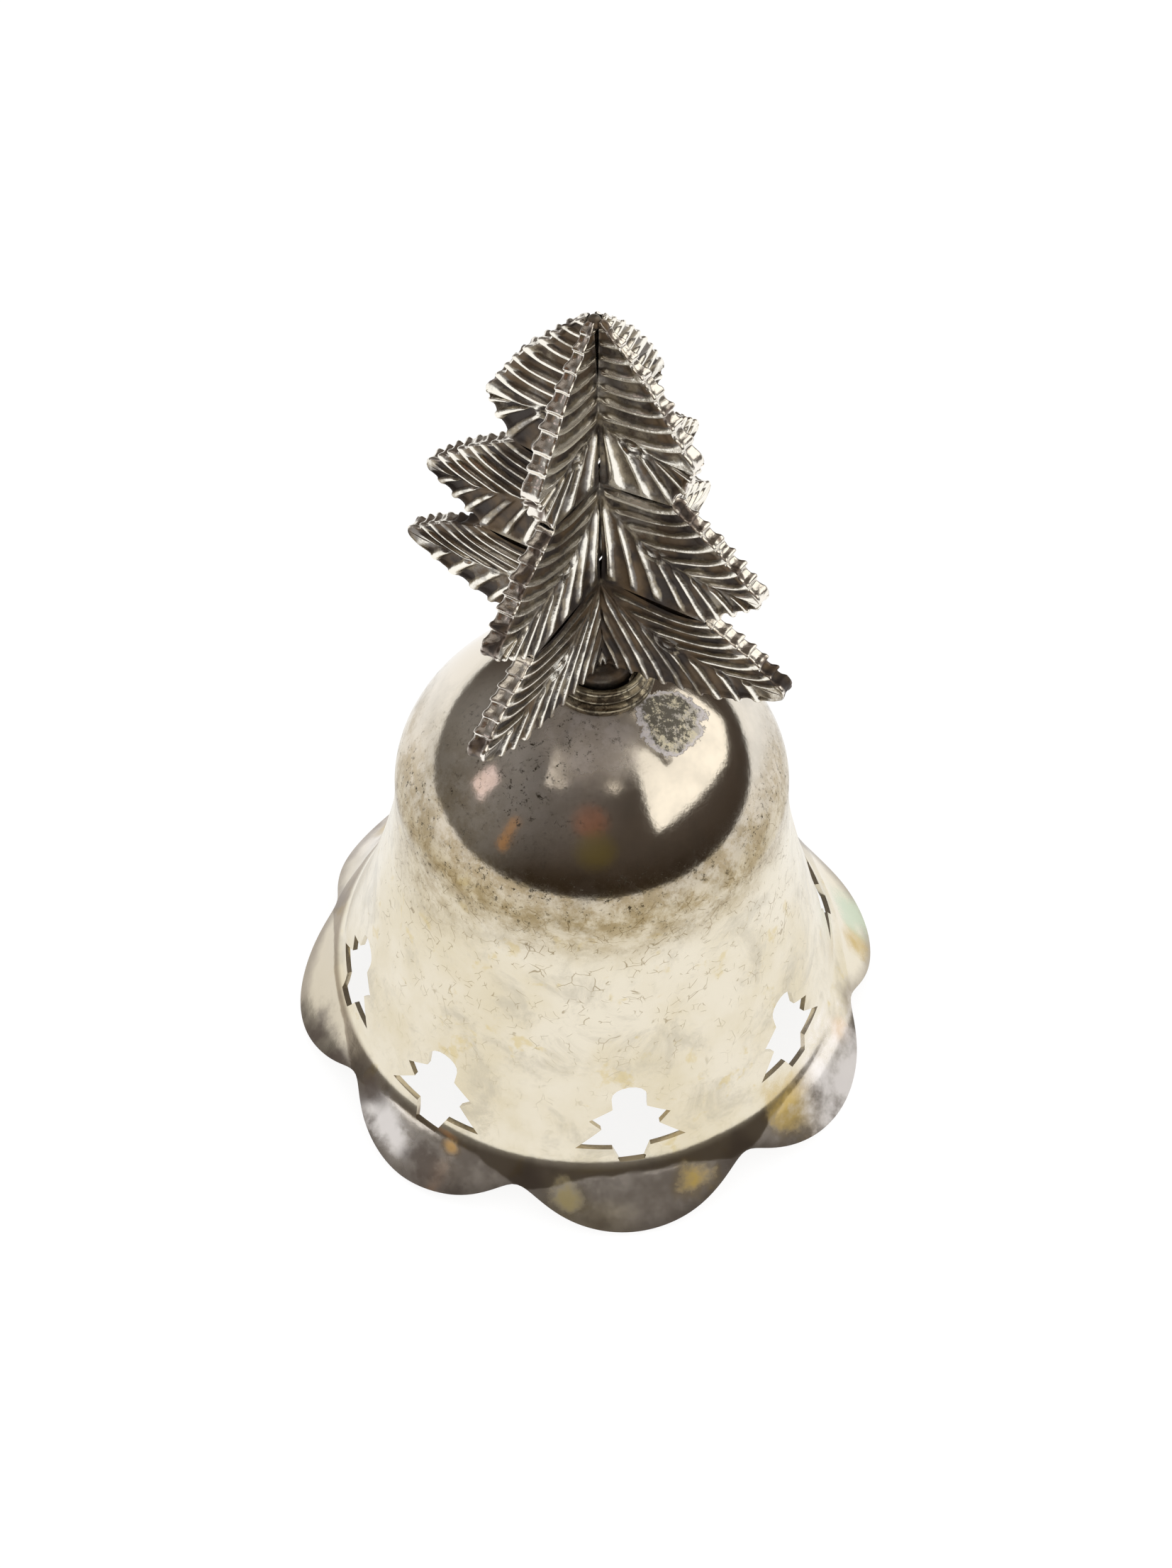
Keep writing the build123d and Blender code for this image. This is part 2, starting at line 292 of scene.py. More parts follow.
def scratches(n, per_mm, width, seed_turn):
    """Fine broken hairlines: the edges of distorted cells, kept only in patches."""
    bend = n.noise(0.35, 2.0)
    shift = n.new("ShaderNodeVectorMath", operation="ADD")
    n.feed(shift.inputs[0], n.stretch(1, 1, 1, seed_turn))
    scaled = n.product(bend, 2.2 * MM)
    n.feed(shift.inputs[1], scaled)
    cells = n.new("ShaderNodeTexVoronoi", feature="DISTANCE_TO_EDGE")
    n.feed(cells.inputs["Vector"], shift.outputs[0])
    cells.inputs["Scale"].default_value = per_mm / MM
    line = n.ramp(cells.outputs["Distance"], 0.0, width, 1.0, 0.0)
    kept = n.ramp(n.noise(0.9 * per_mm, 1.0), 0.55, 0.63)
    return n.product(line, kept)


def silver_material():
    """Silver plate with a yellowish film, smudges, hairlines, dirty shoulder and stains on the lobes,
    with painted highlights on the lobes and painted shade in the bend above them.
    """
    n = Nodes("tarnished_silver")
    z = n.xyz()[2]
    ring, left, beside = shoulder_places(n, z)
    colour, dirt = shoulder_dirt(n, wall_tarnish(n, z), n.largest(ring, beside, left))

    on_dome = n.ramp(n.math("ADD", z, n.product(n.noise(0.4, 5.0, 0.7), 1.6)), 40.2, 43.4)
    film, haze, veil = dome_film(n, left, dirt)
    colour = n.mix(on_dome, colour, film)
    mottle = n.ramp(n.noise(0.40, 7.0, 0.75), 0.40, 0.60, 0.45, 1.0)
    shade = n.product(n.largest(ring, n.product(beside, 0.8)), mottle)
    colour = n.mix(shade, colour, (0.56, 0.49, 0.36), "MULTIPLY")
    colour, corroded = corroded_patch(n, colour)

    on_skirt = n.ramp(z, 8.2, 8.8, 1.0, 0.0)
    colour, on_face = lobe_faces(n, colour, on_skirt)
    colour, stained_or_highlit = skirt_stains_and_highlights(n, colour)

    rough = n.ramp(z, SHOULDER_Z, SHOULDER_Z + 4.5, 0.19, 0.075)
    rough = n.math("ADD", rough, n.product(n.noise(0.6, 4.0), 0.06))
    dull = n.largest(n.product(dirt, 0.3), n.product(corroded, 0.35))
    dull = n.largest(dull, n.product(haze, on_dome, 0.32))
    rough = n.math("ADD", rough, dull)
    rough = n.math("SUBTRACT", rough, n.product(on_skirt, 0.07), clamp=True)
    # Where the plate has a stain, a painted highlight or corrosion, less of it is bare metal.
    dead = n.largest(n.ramp(z, 37.0, 41.0, 0.16, 0.0), n.product(corroded, 0.8))
    dead = n.largest(dead, n.product(on_face, 0.25), stained_or_highlit, n.product(veil, on_dome, 0.35))
    metal = n.math("SUBTRACT", 1.0, n.product(dead, 0.7))
    normal = n.bump(n.noise(0.9, 4.0), 0.02, 0.6)
    crust = n.product(corroded, n.noise(1.8, 5.0, 0.7))
    return n.finish(colour, rough, metal, n.bump(crust, 0.08, 0.8, normal))


def shoulder_places(n, z):
    """Where dirt gathers: round the shoulder, up the dome on its left, and on the left shoulder."""
    rising = n.ramp(z, SHOULDER_Z - 6.0, SHOULDER_Z + 1.5)
    ring = n.product(rising, n.ramp(z, 42.5, 46.0, 1.0, 0.0))
    left = n.ramp(n.distance(-7.5, -7.0, 50.7), 4.0, 13.0, 1.0, 0.0)
    beside = n.ramp(n.distance(-18.0, -7.0, 41.0), 4.0, 15.0, 1.0, 0.0)
    return ring, left, beside


def shoulder_dirt(n, colour, where):
    """Brown stain and dark specks, in patches; also gives how dirty each place is."""
    specks = n.ramp(n.noise(1.5, 8.0, 0.85), 0.55, 0.60)
    patches = n.ramp(n.noise(0.20, 5.0, 0.65), 0.36, 0.54)
    dirt = n.product(specks, patches, where)
    stain = n.product(patches, where, n.ramp(n.noise(0.5, 6.0, 0.7), 0.34, 0.60))
    colour = n.mix(n.product(stain, 0.5), colour, (0.42, 0.33, 0.17))
    return n.mix(n.product(dirt, 0.85), colour, (0.12, 0.09, 0.045)), dirt


def dome_film(n, left, dirt):
    """The dome kept its polish under a thin warm film, which is cloudy and dull by the collar."""
    film = n.mix(n.ramp(n.noise(0.15, 4.0), 0.4, 0.65), (0.80, 0.735, 0.635), (0.66, 0.61, 0.53))
    haze = n.math("ADD", n.distance(-1.2, -6.5, 52.3), n.product(n.noise(0.3, 6.0, 0.7), 8.0))
    haze = n.ramp(haze, 5.0, 11.5, 1.0, 0.0)
    veil = n.largest(haze, n.product(left, 0.5))
    cloud = n.mix(n.ramp(n.noise(0.5, 6.0, 0.7), 0.4, 0.6), (0.56, 0.50, 0.48), (0.40, 0.34, 0.30))
    film = n.mix(n.product(veil, 0.75), film, cloud)
    return n.mix(dirt, film, (0.045, 0.036, 0.02)), haze, veil


def corroded_patch(n, colour):
    """One patch on the right of the collar is corroded, with a pale edge."""
    spot = n.math("ADD", n.distance(6.6, -5.8, 51.4), n.product(n.noise(0.32, 6.0, 0.7), 5.0))
    corroded = n.ramp(spot, 5.9, 6.15, 1.0, 0.0)
    pale_edge = n.product(n.ramp(spot, 5.3, 5.8), corroded)
    from_centre = n.product(n.distance(5.5, -5.1, 52.0), 0.022)
    black = n.math("SUBTRACT", n.noise(1.0, 8.0, 0.82), from_centre)
    crust = n.mix(n.ramp(n.noise(0.7, 6.0, 0.75), 0.44, 0.56), (0.72, 0.65, 0.47), (0.50, 0.46, 0.40))
    crust = n.mix(n.ramp(black, 0.40, 0.47), crust, (0.075, 0.065, 0.045))
    crust = n.mix(n.product(pale_edge, 0.9), crust, (0.70, 0.65, 0.66))
    return n.mix(n.product(corroded, 0.92), colour, crust), corroded


def lobe_faces(n, colour, on_skirt):
    """The pressed faces of the lobes are greyer and darker along the rim; the bend above them gets
    painted shade.
    """
    x, y, z, r = n.xyz()
    inset, wave = rim_inset(n, x, y, r)
    at_notch = n.math("POWER", n.product(n.math("SUBTRACT", 1.0, wave), 0.5), 3.0)
    crease = n.math("ADD", CREASE_R, n.product(at_notch, CREASE_RISE))
    wander = n.product(n.math("SUBTRACT", n.noise(0.3, 3.0), 0.5), 0.8)
    on_face = n.ramp(n.math("ADD", n.math("SUBTRACT", crease, r), wander), -0.12, 0.12, 1.0, 0.0)
    left_side = n.ramp(n.distance(-34.0, 4.0, 3.0), 12.0, 24.0, 1.0, 0.0)
    right_side = n.ramp(n.distance(33.0, -6.0, 3.0), 11.0, 22.0, 1.0, 0.0)
    taupe = n.mix(n.ramp(n.noise(0.13, 5.0, 0.6), 0.42, 0.60), (0.84, 0.77, 0.69), (0.50, 0.44, 0.385))
    taupe = n.mix(left_side, taupe, (0.64, 0.57, 0.45))
    taupe = n.mix(right_side, taupe, (0.80, 0.73, 0.59))
    colour = n.mix(n.product(on_face, 0.9), colour, taupe)
    # Painted shade: the bend between the wall and the faces is darkened, except on the right side.
    bend_painted_shade = n.math("SUBTRACT", 1.0, n.largest(on_face, right_side))
    bend_painted_shade = n.product(bend_painted_shade, n.ramp(z, 5.9, 6.7, 0.8, 0.0))
    colour = n.mix(bend_painted_shade, colour, (0.34, 0.29, 0.26), "MULTIPLY")
    worn_in = n.math("ADD", inset, n.product(wander, 2.4))
    dark_rim = n.product(n.ramp(worn_in, 0.1, 1.7, 0.55, 0.0), on_skirt)
    return n.mix(dark_rim, colour, (0.16, 0.125, 0.105)), on_face


def skirt_stains_and_highlights(n, colour):
    """Ragged coloured stains and painted highlights; also gives how much stain or highlight each place
    has.
    """
    stained_or_highlit = 0.0
    ragged = n.noise(0.30, 4.0, 0.6)
    for centre, reach, tone in STAINS_AND_HIGHLIGHTS:
        far = n.math("ADD", n.distance(*centre), n.product(ragged, 2.2 * reach))
        mask = n.ramp(far, 1.3 * reach, 2.5 * reach, 0.92, 0.0)
        colour = n.mix(mask, colour, tone)
        stained_or_highlit = n.largest(stained_or_highlit, mask)
    return colour, stained_or_highlit


def wall_tarnish(n, z):
    """Colour of the wall: cream film with grey smudges, yellow stains and brown hairlines."""
    colour = n.mix(n.ramp(n.noise(0.09, 5.0, 0.6), 0.38, 0.68), (0.80, 0.735, 0.60), (0.72, 0.64, 0.47))
    smudge = n.noise(0.16, 8.0, 0.7, 0.5)
    colour = n.mix(n.ramp(smudge, 0.48, 0.68, 0.0, 0.6), colour, (0.52, 0.47, 0.37))
    yellow = n.noise(0.26, 4.0, 0.6, 0.3)
    colour = n.mix(n.ramp(yellow, 0.60, 0.70, 0.0, 0.5), colour, (0.66, 0.52, 0.22))
    hair = n.largest(scratches(n, 0.45, 0.028, 0.0), scratches(n, 0.8, 0.038, 1.1))
    hair = n.product(hair, n.ramp(z, 8.0, 32.0, 0.12, 1.0))
    return n.mix(n.product(hair, 0.75), colour, (0.24, 0.17, 0.07))


def rim_inset(n, x, y, r):
    """How far in from the lobes' rim a point lies, and a wave that is 1 at the middle of a lobe."""
    azimuth = n.math("ARCTAN2", y, x)
    wave = n.math("COSINE", n.product(azimuth, float(LOBES)))
    folded = n.math("PINGPONG", azimuth, pi / LOBES)
    along = n.math("SUBTRACT", n.product(r, n.math("COSINE", folded)), LOBE_R - LOBE_ROUND)
    across = n.product(r, n.math("SINE", folded))
    square = n.math("ADD", n.product(along, along), n.product(across, across))
    return n.math("SUBTRACT", LOBE_ROUND, n.math("SQRT", square)), wave


def pewter_material():
    """Oxidised casting: near-black brown in the grooves, rubbed bright on the crests."""
    n = Nodes("oxidised_casting")
    crest = n.new("ShaderNodeAttribute", attribute_name="crest").outputs["Fac"]
    flat = n.new("ShaderNodeAttribute", attribute_name="flat").outputs["Fac"]
    wear = n.math("SUBTRACT", n.noise(0.9, 6.0, 0.7), 0.5)
    worn = n.math("ADD", crest, n.product(wear, 0.9))
    handled = n.product(n.math("SUBTRACT", n.noise(0.11, 3.0), 0.46), 2.6)
    worn = n.math("ADD", worn, handled)
    # The flat outer edges are bright where they were rubbed and dark in shallow hollows.
    hollow = n.product(n.ramp(n.noise(0.22, 3.0, 0.5, 0.2), 0.36, 0.54, -0.25, 0.95), flat)
    worn = n.math("ADD", worn, hollow)
    z = n.xyz()[2]
    worn = n.math("ADD", worn, n.ramp(z, 60.0, 90.0, -0.04, 0.20))
    dark = n.mix(n.ramp(n.noise(0.25, 3.0), 0.4, 0.65), (0.045, 0.034, 0.028), (0.15, 0.10, 0.055))
    middle = n.mix(n.ramp(n.noise(0.5, 3.0), 0.4, 0.6), (0.34, 0.29, 0.215), (0.23, 0.21, 0.19))
    middle = n.mix(flat, middle, (0.25, 0.205, 0.175))
    bright = n.mix(flat, (0.95, 0.91, 0.82), (0.93, 0.88, 0.80))
    colour = n.mix(n.ramp(worn, 0.18, 0.50), dark, middle)
    colour = n.mix(n.ramp(worn, 0.58, 0.92), colour, bright)
    rough = n.ramp(worn, 0.2, 0.9, 0.50, 0.24)
    metal = n.ramp(worn, 0.1, 0.5, 0.5, 1.0)
    normal = n.bump(n.noise(0.7, 4.0, 0.55), 0.13, 0.9)
    return n.finish(colour, rough, metal, normal)


def collar_material():
    """Olive-brown tarnished brass with black blotches and a rubbed lip; painted shade in its recess."""
    n = Nodes("tarnished_collar")
    z, r = n.xyz()[2:]
    tone = n.mix(n.ramp(n.noise(0.5, 5.0, 0.6), 0.35, 0.65), (0.30, 0.25, 0.17), (0.50, 0.45, 0.34))
    blotch = n.ramp(n.noise(0.8, 7.0, 0.75, 0.5), 0.47, 0.56)
    tone = n.mix(n.product(blotch, 0.85), tone, (0.075, 0.06, 0.045))
    lip = n.ramp(z, COLLAR_LIP_Z - 0.16, COLLAR_LIP_Z - 0.02)
    tone = n.mix(n.product(lip, n.ramp(n.noise(0.5, 3.0), 0.4, 0.55)), tone, (0.62, 0.57, 0.42))
    # Painted shade: the recess is darkened to near black.
    inside = n.product(n.ramp(r, 3.7, 4.4, 1.0, 0.0), n.ramp(z, 54.2, 54.7, 1.0, 0.0))
    tone = n.mix(inside, tone, (0.05, 0.04, 0.035))
    rough = n.math("ADD", n.ramp(n.noise(0.8, 3.0), 0.3, 0.7, 0.20, 0.42), n.product(inside, 0.25))
    return n.finish(tone, rough, 1.0, n.bump(n.noise(2.0, 4.0), 0.03, 0.5))


def wire_material(name, light, dark, rough_low, rough_high):
    """Dull plated metal of the fixings, chain and clapper, with drawn lines and grime."""
    n = Nodes(name)
    tone = n.mix(n.ramp(n.noise(0.5, 4.0), 0.35, 0.68), light, dark)
    grime = n.ramp(n.noise(1.3, 5.0, 0.7), 0.55, 0.68)
    tone = n.mix(n.product(grime, 0.6), tone, (0.12, 0.10, 0.08))
    drawn = n.noise(2.5, 3.0, vector=n.stretch(1, 1, 0.15))
    rough = n.ramp(drawn, 0.3, 0.7, rough_low, rough_high)
    return n.finish(tone, rough, 1.0, n.bump(drawn, 0.02, 0.4))


# ---- The bell -----------------------------------------------------------------------------
DOME_ROWS, WALL_ROWS, BEND_ROWS, FLARE_ROWS = 46, 44, 13, 30  # rows of the grid, from the crown down
COLUMNS_PER_LOBE = 44


def even_azimuth(azimuth):
    """Undoes the uneven spacing of the hand-trimmed notches."""
    step = 2 * pi / LOBES
    notches = -pi + step * (0.5 + np.arange(-1, LOBES + 1))
    shifts = np.radians([NOTCH_SHIFT[-1], *NOTCH_SHIFT, NOTCH_SHIFT[0]])
    wrapped = (np.asarray(azimuth) + pi) % (2 * pi) - pi
    return wrapped - np.interp(wrapped, notches + shifts, shifts)


def rim_radius(azimuth):
    """Radius of the trimmed rim: arcs of the lobes, blended where two of them meet."""
    centre = LOBE_R - LOBE_ROUND
    step = 2 * pi / LOBES
    azimuth = even_azimuth(azimuth)
    offset = (azimuth + step / 2) % step - step / 2

    def lobe_arc(angle):
        reach = np.maximum(LOBE_ROUND**2 - (centre * np.sin(angle)) ** 2, 0)
        return centre * np.cos(angle) + np.sqrt(reach)

    here, beside = lobe_arc(offset), lobe_arc(step - np.abs(offset))
    return NOTCH_BLEND * np.log(np.exp(here / NOTCH_BLEND) + np.exp(beside / NOTCH_BLEND))


def bell_profile():
    """Outside of dome and wall as (r, z) rows, from the crown's hole to the wall's foot."""
    angles = np.radians(np.linspace(89.0, 0.0, DOME_ROWS))
    rise = np.sin(angles)
    dome_r = SHOULDER_R * (1 - rise**DOME_POWER_Z) ** (1 / DOME_POWER_R)
    dome = np.stack([dome_r, SHOULDER_Z + DOME_RISE * rise], 1)
    fall = np.linspace(0, 1, WALL_ROWS)[1:]
    wall_r = SHOULDER_R + WALL_FLARE * fall**WALL_POWER
    wall = np.stack([wall_r, SHOULDER_Z + (WALL_FOOT_Z - SHOULDER_Z) * fall], 1)
    return np.concatenate([dome, wall])


def bend_profile(foot, along):
    """Turn from the wall's foot to the straight flare; also gives the flare's slope (dz/dr)."""
    start = atan2(along[0], -along[1])
    centre = foot + BEND * np.array([cos(start), sin(start)])
    to_rim = np.array([LOBE_R, RIM_Z]) - centre
    end = atan2(to_rim[1], to_rim[0]) + pi - np.arccos(BEND / np.linalg.norm(to_rim))
    angles = np.linspace(start, end, BEND_ROWS)[1:]
    return centre - BEND * np.stack([np.cos(angles), np.sin(angles)], 1), -1 / np.tan(end)


def skirt_height(r, azimuth, edge, start, slope):
    """Height of the flared skirt, with its pressed lobes."""
    wave = np.cos(LOBES * even_azimuth(azimuth))
    straight = start[1] + slope * (r - start[0])
    crease = CREASE_R + CREASE_RISE * (0.5 - 0.5 * wave) ** 3
    along = np.clip((r - crease) / np.maximum(edge - crease, 0.2), 0, 1)
    lobe = np.round(azimuth / (2 * pi / LOBES)).astype(int) % LOBES
    lift = np.array(LOBE_LIFT)[lobe] * along * (0.5 + 0.5 * wave)
    return straight + lift - DISH_DEPTH * (0.5 + 0.5 * wave) * np.sin(pi * along**0.8)


def uneven(r, z, angle):
    """Slight unevenness of thin sheet that has been handled for years."""
    place = Vector((r * cos(angle), r * sin(angle), z))
    calm = 0.25 if z > SHOULDER_Z else 1.0
    r_shift = 0.10 * calm * noise.noise(place * 0.11) * min(1.0, r / 15)
    z_shift = 0.0
    if r > FLARE_R:
        z_shift = 0.22 * noise.noise(place * 0.13 + Vector((9, 3, 5))) * (r - FLARE_R) / 3
    return r + r_shift, z + z_shift


def bell_outside():
    """Grid of points on the bell's outside: rows from crown to rim, columns round the axis."""
    columns = LOBES * COLUMNS_PER_LOBE
    azimuth = np.linspace(0, 2 * pi, columns, endpoint=False)
    body = bell_profile()
    last = body[-1] - body[-2]
    bend, slope = bend_profile(body[-1], last / np.linalg.norm(last))
    rows = [np.outer(np.ones(columns), p) for p in np.concatenate([body, bend])]
    start = bend[-1]
    edge = rim_radius(azimuth)
    for fraction in np.linspace(0, 1, FLARE_ROWS)[1:]:
        r = start[0] + (edge - start[0]) * fraction
        rows.append(np.stack([r, skirt_height(r, azimuth, edge, start, slope)], 1))
    rows = np.array([[uneven(*point, angle) for point, angle in zip(row, azimuth)] for row in rows])
    x = rows[:, :, 0] * np.cos(azimuth)
    y = rows[:, :, 0] * np.sin(azimuth)
    return np.stack([x, y, rows[:, :, 1]], 2)


def grid_normals(points):
    """Outward unit normals of a grid that wraps round in its columns."""
    around = np.roll(points, -1, 1) - np.roll(points, 1, 1)
    down = np.gradient(points, axis=0)
    normals = np.cross(down, around)
    return normals / np.linalg.norm(normals, axis=2, keepdims=True)


def tree_cutter_mesh(lobe):
    """Closed prism in the shape of the small fir tree that is pierced over a lobe."""
    angles = np.linspace(-pi / 2, pi / 2, 9)[1:-1]
    top = [(CUT_TOP_R * sin(a), CUT_TOP_Z + CUT_TOP_RISE * cos(a)) for a in angles]
    outline = top + CUT_SIDE + [(-x, z) for x, z in reversed(CUT_SIDE)]
    turn = 2 * pi / LOBES * lobe + radians(CUT_TURN[lobe])
    points = []
    for depth in CUT_DEPTHS:
        for across, z in outline:
            x = depth * cos(turn) - across * sin(turn)
            y = depth * sin(turn) + across * cos(turn)
            points.append((x, y, z - CUT_DROP[lobe]))
    count = len(outline)
    faces = [tuple(range(count)), tuple(reversed(range(count, 2 * count)))]
    for k in range(count):
        after = (k + 1) % count
        faces.append((k, k + count, after + count, after))
    return points, faces


def bell_piece(material):
    """The sheet-metal bell, with thickness, rolled edge and pierced trees."""
    outside = bell_outside()
    thick = WALL_SHEET + (CROWN_SHEET - WALL_SHEET) * smoothstep(outside[:, :, 2:], SHOULDER_Z, CROWN_Z)
    inside = outside - thick * grid_normals(outside)
    inside[:, :, 2] = np.maximum(inside[:, :, 2], 0.02)
    lip = (outside[-1] + inside[-1]) / 2
    outward = lip[:, :2] / np.linalg.norm(lip[:, :2], axis=1, keepdims=True)
    lip[:, :2] += LIP_ROUND * outward
    rows = np.concatenate([outside, lip[None], inside[::-1]])
    count, columns = rows.shape[:2]
    faces = grid_faces(count, columns, wrap=True, close=True, flip=True)
    bell = mesh_object("bell_of_silver_plate", rows.reshape(-1, 3), faces, material)
    cutters = []
    for lobe in range(LOBES):
        points, sides = tree_cutter_mesh(lobe)
        cutter = mesh_object("cutter", points, sides, None)
        cutters.append(cutter)
        cut = bell.modifiers.new("pierce", "BOOLEAN")
        cut.operation = "DIFFERENCE"
        cut.solver = "EXACT"
        cut.object = cutter
    shown = bell.evaluated_get(bpy.context.evaluated_depsgraph_get())
    pierced = bpy.data.meshes.new_from_object(shown)
    bell.modifiers.clear()
    bell.data = pierced
    pierced.shade_smooth()
    pierced.set_sharp_from_angle(angle=radians(32))
    for cutter in cutters:
        bpy.data.objects.remove(cutter)
    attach(bell, "root")
    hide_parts("bell_shell")
    return bell


# ---- The tree -----------------------------------------------------------------------------
def bezier(a, b, c, count=24):
    """Points of a curve from a to c that b pulls towards itself."""
    t = np.linspace(0, 1, count)[:, None]
    a, b, c = np.array(a, float), np.array(b, float), np.array(c, float)
    return (1 - t) ** 2 * a + 2 * t * (1 - t) * b + t**2 * c


def arc(centre, radius, start, end, count=10):
    """Points of a circular arc; the angles are in degrees."""
    angles = np.radians(np.linspace(start, end, count))
    return np.array(centre) + radius * np.stack([np.cos(angles), np.sin(angles)], 1)


class Path:
    """A line through points, measured by its length."""

    def __init__(self, *stretches):
        points = np.concatenate([np.array(s, float).reshape(-1, 2) for s in stretches])
        keep = np.concatenate([[True], np.linalg.norm(np.diff(points, axis=0), axis=1) > 1e-6])
        self.points = points[keep]
        steps = np.linalg.norm(np.diff(self.points, axis=0), axis=1)
        self.along = np.concatenate([[0], np.cumsum(steps)])
        self.length = self.along[-1]

    def at(self, fraction):
        where = np.asarray(fraction) * self.length
        return np.stack([np.interp(where, self.along, self.points[:, k]) for k in (0, 1)], -1)


# Each tier of a vane in (distance from the axis, height). A tier has a spine from the trunk to
# its tip, an upper edge above it and an underside below it.
TIERS = [
    dict(
        top=(TRUNK_HALF, APEX_Z), edge_start=(TRUNK_HALF, APEX_Z), edge_pull=(6.4, 91.4),
        tip=(9.5, 84.1), tip_round=0.95, tip_angles=(42, -6, -20),
        under_pull=(9.7, 80.6), under_end=(8.2, 79.4),
        spine_start=(TRUNK_HALF, 85.2), spine_pull=(4.5, 83.4), bottom=(TRUNK_HALF, 78.6),
        upper_needles=9, upper_lead=0.6, lower_needles=6, lower_power=1.8, lower_early=True, knot=0.40,
    ),
    dict(
        top=(TRUNK_HALF, 78.6), edge_start=(8.2, 79.4), edge_pull=(13.8, 76.6),
        tip=(16.8, 72.3), tip_round=0.95, tip_angles=(50, 0, -38),
        under_pull=(14.6, 69.0), under_end=(12.2, 67.2),
        spine_start=(TRUNK_HALF, 77.2), spine_pull=(6.3, 70.4), bottom=(TRUNK_HALF, 67.0),
        upper_needles=8, upper_lead=0.85, lower_needles=9, lower_power=1.3, lower_early=True, knot=0.40,
    ),
    dict(
        top=(TRUNK_HALF, 67.0), edge_start=(12.2, 67.2), edge_pull=(17.6, 65.6),
        tip=(20.1, 62.3), tip_round=0.88, tip_angles=(54, 4, -50),
        under_pull=(16.0, 57.9), under_end=(9.0, 56.9),
        spine_start=(TRUNK_HALF, 66.3), spine_pull=(7.0, 60.0), bottom=(TRUNK_HALF, TREE_BASE_Z),
        upper_needles=7, upper_lead=0.85, lower_needles=11, lower_power=1.2, lower_early=False, knot=0.42,
    ),
]


def tier_paths(tier):
    """The spine side and the edge side of a tier's upper and lower needles."""
    first, middle, last = tier["tip_angles"]
    tip_end = arc(tier["tip"], tier["tip_round"], middle, middle, 1)[0]
    spine = bezier(tier["spine_start"], tier["spine_pull"], tip_end)
    upper_root = Path([tier["top"]], spine)
    upper_tip = arc(tier["tip"], tier["tip_round"], first, middle)
    upper_edge = Path(bezier(tier["edge_start"], tier["edge_pull"], upper_tip[0]), upper_tip)
    lower_tip = arc(tier["tip"], tier["tip_round"], last, middle)
    under = bezier(tier["under_end"], tier["under_pull"], lower_tip[0])
    lower_edge = Path([tier["bottom"]], under, lower_tip)
    if tier["lower_early"]:
        lower_root = Path(spine)
    else:
        lower_root = Path([tier["bottom"]], spine)
    return upper_root, upper_edge, lower_root, lower_edge


STEPS_PER_NEEDLE, ACROSS = 14, 24  # grid steps across one needle, and along it
NOTCH_CUT = 0.55  # how deep a groove cuts back a vane's outline
EDGE_HALF = 0.95  # half thickness of a vane at its outer edge
EDGE_GROOVE = 0.78  # the same where a groove runs out into the edge


def needle_wave(phase):
    """Section across a needle: 1 on its narrow rounded crest, 0 in the wide groove."""
    wave = 0.5 + 0.5 * np.cos(2 * pi * phase)
    return 0.85 * smoothstep(wave, 0.50, 0.97) + 0.15 * smoothstep(wave, 0.0, 0.6)


def needle_patch(root, edge, needles, root_map, edge_map, sag, valley_until, seed):
    """One set of needles: points (r, z), half thickness and crest value on a grid."""
    count = needles * STEPS_PER_NEEDLE + 1
    u = np.linspace(0, 1, count)
    v = (np.linspace(0, 1, ACROSS) ** 0.9)[:, None]
    rng = np.random.default_rng(seed)
    knots = np.arange(needles + 2)
    jitter = np.interp(u * needles, knots, rng.uniform(-0.13, 0.13, needles + 2))
    sway = np.interp(u * needles, knots, rng.uniform(-0.10, 0.10, needles + 2))
    strength = np.interp(u * needles, knots, 1 - rng.uniform(0.0, 0.30, needles + 2))
    notch = np.interp(u * needles, knots, rng.uniform(0.35, 1.25, needles + 2))
    phase = (u * needles - 0.5 + jitter)[None] + sway[None] * (v - 0.5)
    wave = needle_wave(phase) * strength[None]
    start, end = root.at(root_map(u)), edge.at(edge_map(u))
    # Grooves cut back the outline; the tip itself stays whole.
    whole_tip = smoothstep(u, 0.86, 0.95)
    in_valley = 1 - smoothstep(edge_map(u), valley_until - 0.02, valley_until + 0.03)
    span = end - start
    reach = np.linalg.norm(span, axis=1)
    cut = NOTCH_CUT * notch * (1 - wave[-1]) * (1 - whole_tip) * (1 - in_valley)
    cut = cut * np.clip(reach / 3, 0, 1)
    span = span * (1 - cut / np.maximum(reach, 1e-6))[:, None]
    side = np.stack([span[:, 1], -span[:, 0]], 1)
    bow = sag * 2.6 * v**2 * (1 - v)
    points = start[None] + v[..., None] * span[None] + bow[..., None] * side[None]
    # Height over the vane's middle plane.
    rise = smoothstep(v, 0.0, 0.14) * smoothstep(u, 0.0, 0.3 / needles)[None]
    body = wave * (1 - whole_tip[None]) + 0.7 * whole_tip[None]
    drop = 1 - in_valley[None] * smoothstep(v, 0.86, 1.0)
    crest = body * rise * drop + 0.3 * (1 - drop)
    rim = smoothstep(v, 0.84, 0.96) * (1 - in_valley)[None]
    groove = GROOVE_HALF + (EDGE_GROOVE - GROOVE_HALF) * rim
    top = CREST_HALF + (EDGE_HALF - CREST_HALF) * rim
    base = TRUNK_HALF + (groove - TRUNK_HALF) * rise * drop
    half = base + (top - base) * crest
    return points, half, crest, in_valley


KNOT_RINGS = (  # inner and outer radius, half thickness and crest value: ring, groove, button
    (1.35, 1.75, 0.85, 0.75),
    (1.0, 1.3, GROOVE_HALF, 0.0),
    (0.35, 0.8, 0.95, 0.9),
)


